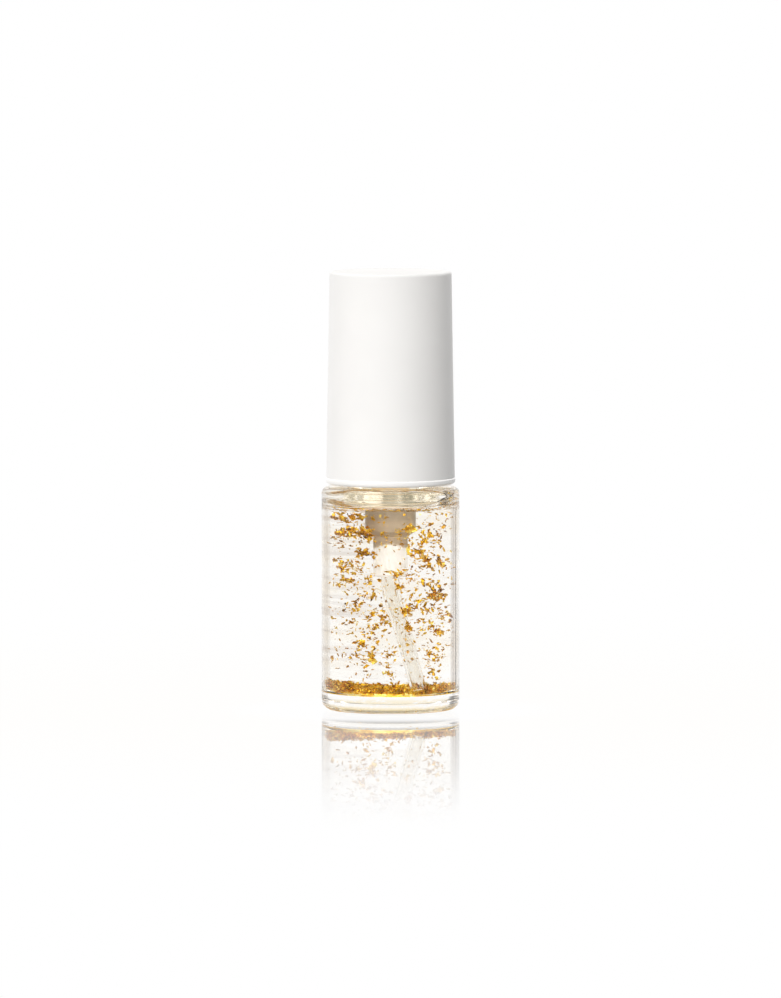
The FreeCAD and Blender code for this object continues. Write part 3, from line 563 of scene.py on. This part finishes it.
# across, depth, height, spread across, spread in height, how many, largest size:
# all in mm but the count
CLUSTERS = [
    (-7.0, -3.5, 34.9, 1.2, 0.5, 9, 1.3), (-5.2, -4.5, 35.6, 1.4, 0.5, 8, 1.2),
    (-7.4, -2.5, 32.4, 1.0, 0.6, 10, 1.4), (-5.4, -5.0, 32.8, 1.7, 0.6, 18, 1.7),
    (-3.6, -6.5, 32.0, 1.0, 0.8, 8, 1.3), (-4.2, -6.4, 28.8, 1.3, 0.6, 10, 1.5),
    (-7.0, -3.2, 26.5, 1.2, 0.7, 9, 1.2), (-5.6, -4.8, 26.0, 1.0, 0.9, 10, 1.1),
    (-3.4, -5.4, 24.2, 0.6, 0.5, 4, 1.3), (-6.4, -4.6, 23.8, 1.2, 0.6, 8, 1.3),
    (-7.8, -2.5, 23.2, 0.5, 0.4, 4, 1.1), (-3.8, -5.6, 21.2, 1.5, 0.6, 9, 1.1),
    (-5.6, -5.0, 19.6, 1.4, 0.7, 9, 1.2), (-3.2, -6.0, 18.0, 1.6, 0.7, 7, 1.0),
    (-1.2, -6.0, 17.0, 1.0, 0.8, 9, 0.9), (-3.0, -6.8, 15.2, 1.0, 0.6, 7, 1.2),
    (-5.0, -5.8, 12.6, 0.7, 0.35, 4, 1.6), (-2.6, -6.6, 13.4, 0.8, 0.7, 5, 1.0),
    (-2.9, -6.6, 10.4, 0.5, 0.7, 6, 1.3), (0.4, -7.4, 10.8, 1.5, 0.7, 8, 0.8),
    (-0.1, -7.6, 7.4, 0.9, 0.2, 5, 1.0), (-5.6, -5.2, 9.6, 2.0, 1.2, 7, 0.7),
    (0.5, -7.2, 31.4, 2.4, 1.6, 22, 0.7), (1.6, -7.2, 32.6, 0.7, 0.6, 5, 0.9),
    (2.9, -6.8, 33.3, 0.8, 0.5, 7, 1.3), (0.0, -7.0, 25.6, 0.9, 0.3, 4, 1.0),
    (1.2, -7.0, 25.3, 0.8, 0.3, 7, 1.2), (1.4, -7.2, 23.0, 0.5, 0.4, 5, 1.0),
    (5.6, -3.8, 31.2, 1.6, 0.7, 9, 1.4), (4.2, -5.0, 29.2, 1.0, 0.5, 8, 1.5),
    (5.0, -4.6, 28.0, 0.9, 0.5, 7, 1.4), (7.6, -3.6, 32.9, 1.2, 0.6, 5, 0.9),
    (8.0, -2.8, 26.8, 0.8, 0.6, 7, 1.6), (5.0, -4.6, 26.2, 1.8, 0.4, 6, 1.4),
    (6.2, -5.0, 23.6, 1.0, 0.6, 7, 1.1), (3.0, -6.4, 24.6, 1.2, 1.0, 9, 0.9),
    (7.4, -3.9, 21.2, 0.9, 0.9, 22, 1.3), (4.2, -5.6, 20.0, 1.6, 1.0, 10, 1.0),
    (2.2, -6.8, 18.4, 0.9, 0.8, 16, 1.1), (2.8, -6.9, 15.6, 0.4, 0.7, 8, 1.2),
    (6.0, -4.8, 18.6, 1.2, 0.9, 9, 0.9), (8.0, -2.0, 17.4, 0.6, 0.7, 6, 1.4),
    (7.4, -3.2, 14.6, 0.9, 1.0, 9, 1.2), (4.6, -5.8, 14.8, 1.3, 0.9, 9, 0.9),
    (5.8, -5.4, 11.0, 0.5, 0.8, 6, 1.1), (7.4, -3.4, 10.2, 0.8, 0.8, 8, 0.9),
    (4.6, -6.2, 8.4, 1.2, 0.8, 6, 0.8), (6.8, -4.4, 6.8, 1.0, 0.7, 5, 1.0),
]


def tube_clear(place, size):
    """True where a scrap stays out of the space that the pump and its tube pass through."""
    x, y, z = (v / MM for v in place)
    gap = 0.45 * size / MM
    near_wall = math.hypot(x, y) + gap > LEAF_REACH - 0.05
    if near_wall or not LEAF_LOWEST < z - gap * 0.6 or z + gap * 0.6 > LEAF_HIGHEST:
        return False
    if z > CLEAR_OF_HOUSING_ABOVE:
        return math.hypot(x, y) - gap > 3.7
    tip, root, foot = Vector((3.65, -6.45, 3.7)), Vector((0, 0, 20.0)), Vector((0, 0, 33.0))
    for lift in (0.0, 1.2, 2.4, 3.6, 4.8):
        up = Vector((0, 0, lift))
        for a, b in ((tip, root), (root, foot)):
            line = b - a
            point = Vector((x, y, z)) - a - up
            share = max(0.0, min(1.0, point.dot(line) / line.length_squared))
            if (point - line * share).length < 1.95 + 1.3 * gap:
                return False
    return True


def turned(chance, place, size, flat):
    tilt = 0.35 if flat else 1.4
    turn = (Matrix.Rotation(chance.uniform(0, math.tau), 4, "Z")
            @ Matrix.Rotation(chance.gauss(0, tilt), 4, "X")
            @ Matrix.Rotation(chance.gauss(0, tilt), 4, "Y"))
    plump = 1.3 if size < 0.5 else 0.9
    slim = Matrix.Diagonal((
        size * chance.uniform(0.6, 1.0), size, size * plump * chance.uniform(0.8, 1.3), 1.0))
    return Matrix.Translation(place) @ turn @ slim


def make_floating_leaf(shapes):
    chance = random.Random(FLOATING_SEED)
    places = []
    for across, depth, height, wide, tall, count, largest in CLUSTERS:
        for _ in range(round(count * CROWDING)):
            for _ in range(30):
                size = largest * 0.95 * (0.2 + 0.8 * chance.random() ** 1.8)
                spot = Vector((chance.gauss(across, wide * 0.7), chance.gauss(depth, 0.8),
                               chance.gauss(height, tall * 0.7))) * MM
                if tube_clear(spot, size * MM):
                    places.append((chance.randrange(SHAPE_DRAWS),
                                   turned(chance, spot, size, chance.random() < 0.35)))
                    break
    for _ in range(DRIFTING_SCRAPS):
        size = 0.2 + 0.7 * chance.random() ** 2.4
        height = 4.4 + 32.0 * chance.random() ** 0.8
        angle, reach = chance.uniform(0, math.tau), 8.7 * math.sqrt(chance.random())
        spot = Vector((reach * math.cos(angle), reach * math.sin(angle), height)) * MM
        if tube_clear(spot, size * MM):
            places.append((chance.randrange(SHAPE_DRAWS),
                           turned(chance, spot, size, chance.random() < 0.4)))
    for _ in range(SURFACE_SCRAPS):
        angle, size = chance.uniform(0, math.tau), 0.15 + 0.35 * chance.random()
        reach = chance.uniform(4.2, 8.9)
        spot = Vector((reach * math.cos(angle), reach * math.sin(angle), 0)) * MM
        spot.z = (GEL_LEVEL + gel_level(spot.x / MM, spot.y / MM)) * MM
        places.append((chance.randrange(SHAPE_DRAWS), turned(chance, spot, size, True)))
    leaf = scatter("floating_leaf", shapes, places, LEAF)
    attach(leaf, "vial")
    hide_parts("gold_flakes")


def bed_height(x, y):
    """Top of the settled leaf, in mm: a lumpy layer, higher at the left wall."""
    lump = (noise.noise(Vector((x * 0.55, y * 0.55, 1.7))) * 0.28
            + noise.noise(Vector((x * 1.6, y * 1.6, 4.1))) * 0.16)
    heap = 0.9 * max(0.0, -x / 9.0) ** 1.5
    return 4.2 + lump + heap


def make_settled_leaf(shapes):
    low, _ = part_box("gold_sediment")
    clear_choice()
    bpy.ops.mesh.primitive_cylinder_add(vertices=96, radius=8.55 * MM, depth=0.5 * MM,
                                        location=(0, 0, low.z + 0.27 * MM))
    bed = named("settled_bed")
    bpy.ops.object.transform_apply(location=True)
    choose_faces(bed, lambda c, n: n.z > 0.9)
    for _ in range(14):
        bpy.ops.mesh.inset(thickness=0.58 * MM)
    bpy.ops.object.mode_set(mode="OBJECT")
    for vertex in bed.data.vertices:
        if vertex.co.z > low.z + 0.3 * MM:
            x, y = vertex.co.x / MM, vertex.co.y / MM
            edge = max(0.0, min(1.0, (8.56 - math.hypot(x, y)) / 0.5))
            vertex.co.z = (3.35 + (bed_height(x, y) - 3.55) * edge) * MM
    settle(bed, BED, 60)
    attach(bed, "vial")
    chance = random.Random(SETTLED_SEED)
    places = []
    for _ in range(SETTLED_SCRAPS):
        size = 0.25 + 0.55 * chance.random() ** 2
        angle, reach = chance.uniform(0, math.tau), 8.75 * math.sqrt(chance.uniform(0.05, 1.0))
        if chance.random() < 0.5:
            reach = chance.uniform(8.2, 8.9)
        x, y = reach * math.cos(angle), reach * math.sin(angle)
        wall = max(0.0, (reach - 7.9) / 0.9)
        top = bed_height(x, y)
        if chance.random() < 0.55:
            z = chance.uniform(SETTLED_LOWEST + 0.35 * wall, top + 0.2)
        else:
            z = top + chance.gauss(0.0, 0.25)
        near_tube = math.hypot(x - 3.4, y + 6.0) < 1.9
        if reach + 0.35 * size > LEAF_REACH or z < SETTLED_LOWEST or (near_tube and z > 3.6):
            continue
        places.append((chance.randrange(SHAPE_DRAWS),
                       turned(chance, Vector((x, y, z)) * MM, size, chance.random() < 0.4)))
    flakes = scatter("settled_leaf", shapes, places, LEAF)
    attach(flakes, "vial")
    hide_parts("gold_sediment")


# ------------------------------------------------------------------ return spring

def make_spring():
    low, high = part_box("return_spring")
    wire, turns = 0.22 * MM, 6.5
    clear_choice()
    bpy.ops.mesh.primitive_circle_add(vertices=12, radius=wire, rotation=(math.radians(90), 0, 0),
                                      location=(high.x - wire, 0, low.z + wire))
    spring = named("return_spring_wire")
    bpy.ops.object.transform_apply(location=True, rotation=True)
    modify(spring, "SCREW", axis="Z", angle=math.tau * turns, iterations=1, steps=260,
           render_steps=260, screw_offset=high.z - low.z - 2 * wire, use_merge_vertices=False)
    bpy.ops.object.mode_set(mode="EDIT")
    bpy.ops.mesh.select_mode(type="EDGE")
    bpy.ops.mesh.select_all(action="DESELECT")
    bpy.ops.mesh.select_non_manifold()
    bpy.ops.mesh.edge_face_add()
    bpy.ops.mesh.select_all(action="SELECT")
    bpy.ops.mesh.normals_make_consistent(inside=False)
    bpy.ops.object.mode_set(mode="OBJECT")
    settle(spring, STEEL, 60)
    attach(spring, "pump_unit")
    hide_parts("return_spring")
    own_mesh(spring)


make_gel()
large, small = make_shapes()
make_floating_leaf(large)
make_settled_leaf(small)
for scrap in large + small:
    bpy.data.objects.remove(scrap)
make_spring()


# ------------------------------------------------------------------ room

def shade_side(bearing):
    """1 on the room's dark right side, and 0 elsewhere."""
    return bearing.ease(38, 48) * (1 - bearing.ease(130, 142))


def make_floor():
    """A white glossy table that mirrors the object faintly, less and less with distance."""
    clear_choice()
    bpy.ops.mesh.primitive_circle_add(
        vertices=96, radius=9.0, fill_type="NGON", location=(0, 0, -0.02 * MM))
    table = named("table")
    f = finish("glossy_table")
    place = f.place()
    x, y, _ = f.parts(place)
    away = f.add("ShaderNodeVectorMath", {"operation": "LENGTH"}, {0: place}).out("Value")
    rays = f.add("ShaderNodeLightPath")
    mirror = (1 - away.ease(0.0, 0.235)) * (0.06 + 0.72 * away.ease(0.021, 0.034))
    white = f.glowing((1, 1, 1, 1))
    gloss = f.add("ShaderNodeBsdfGlossy", None, {"Color": (1, 1, 1, 1), "Roughness": 0.0})
    shown = f.mixed(mirror, white, gloss)
    # painted reflection: rays that pass through the glass see a speckled gold ring of light under
    # the bottle's outer edge, which shows as a gold band at the foot
    specks = f.grain(place, 900, 3.0)
    ring = away.ease(8.5 * MM, 10.0 * MM) * (1 - away.ease(11.6 * MM, 12.6 * MM))
    under = f.blend(ring * specks.ease(0.38, 0.62), (1.0, 1.0, 1.0), (0.88, 0.64, 0.28))
    crisp = f.glowing(under)
    bearing = f.bearing(x, y)
    fill = f.glowing(f.scaled((1.0, 0.985, 0.965), 0.94 - shade_side(bearing) * 0.92))
    light = f.mixed(rays.out("Is Diffuse Ray"), crisp, fill)
    seen = f.mixed(rays.out("Is Camera Ray"), light, shown)
    f.add("ShaderNodeOutputMaterial", None, {"Surface": seen})
    table.data.materials.append(f.owner)


def make_room():
    """A white room, brightest in front and above.

    Its dark right side shades the cap and draws the glass's edges. Rays that pass through glass
    see a brighter front, as separate lamps would give.
    """
    world = bpy.data.worlds.new("studio")
    bpy.context.scene.world = world
    f = Finish(world)
    x, y, z = f.parts(f.add("ShaderNodeTexCoord").out("Generated"))
    bearing = f.bearing(x, y)
    dark = shade_side(bearing) * (1 - z.ease(0.72, 0.94))
    beside = bearing.ease(131, 143) * (1 - bearing.ease(154, 182))
    slit = bearing.ease(-78, -71) * (1 - bearing.ease(-53, -46))
    card = bearing.ease(52, 70) * (1 - bearing.ease(100, 124)) * (1 - z.ease(0.3, 0.6))
    low = 1 - z.ease(0.06, 0.20)
    rays = f.add("ShaderNodeLightPath")
    white = f.backdrop((1, 1, 1, 1))
    overhead = 1.02 + 0.78 * z.ease(0.5, 0.9) + 0.66 * beside - y.ease(-0.45, 0.2) * 0.34
    soft = f.backdrop(f.scaled(
        f.blend(dark, (1.0, 0.99, 0.98), (0.97, 0.94, 0.92)), overhead * (1 - dark * 0.99)))
    mirrored = f.backdrop(f.scaled(
        (1.0, 0.99, 0.975), (1 - dark * low * 0.8) * (1 - slit * low * 0.7)))
    front = 1 + 2.4 * (0 - y).ease(0.15, 0.85)
    through = f.backdrop(f.scaled(
        f.blend(card, (1.0, 1.0, 1.0), (0.96, 0.91, 0.87)),
        front * (1 - card * 0.72) * (1 - slit * 0.7)))
    crisp = f.mixed(rays.out("Is Transmission Ray"), mirrored, through)
    indirect = f.mixed(rays.out("Is Diffuse Ray"), crisp, soft)
    all_round = f.mixed(rays.out("Is Camera Ray"), indirect, white)
    f.add("ShaderNodeOutputWorld", None, {"Surface": all_round})


def make_camera():
    aim, away, rise = Vector((0, 0, 38.2 * MM)), 2.8, math.radians(4.17)
    lens = bpy.data.cameras.new("camera")
    lens.lens, lens.sensor_width, lens.clip_end = 0.1991 * away * 1000, 36, 100
    camera = bpy.data.objects.new("camera", lens)
    bpy.context.scene.collection.objects.link(camera)
    camera.location = aim + Vector((0, -away * math.cos(rise), away * math.sin(rise)))
    camera.rotation_euler = (aim - camera.location).to_track_quat("-Z", "Y").to_euler()
    bpy.context.scene.camera = camera


make_floor()
make_room()
make_camera()

scene = bpy.context.scene
scene.view_settings.view_transform = "Standard"
scene.cycles.max_bounces = 72
scene.cycles.transmission_bounces = 72
scene.cycles.glossy_bounces = 48
scene.cycles.diffuse_bounces = 5
scene.cycles.transparent_max_bounces = 16
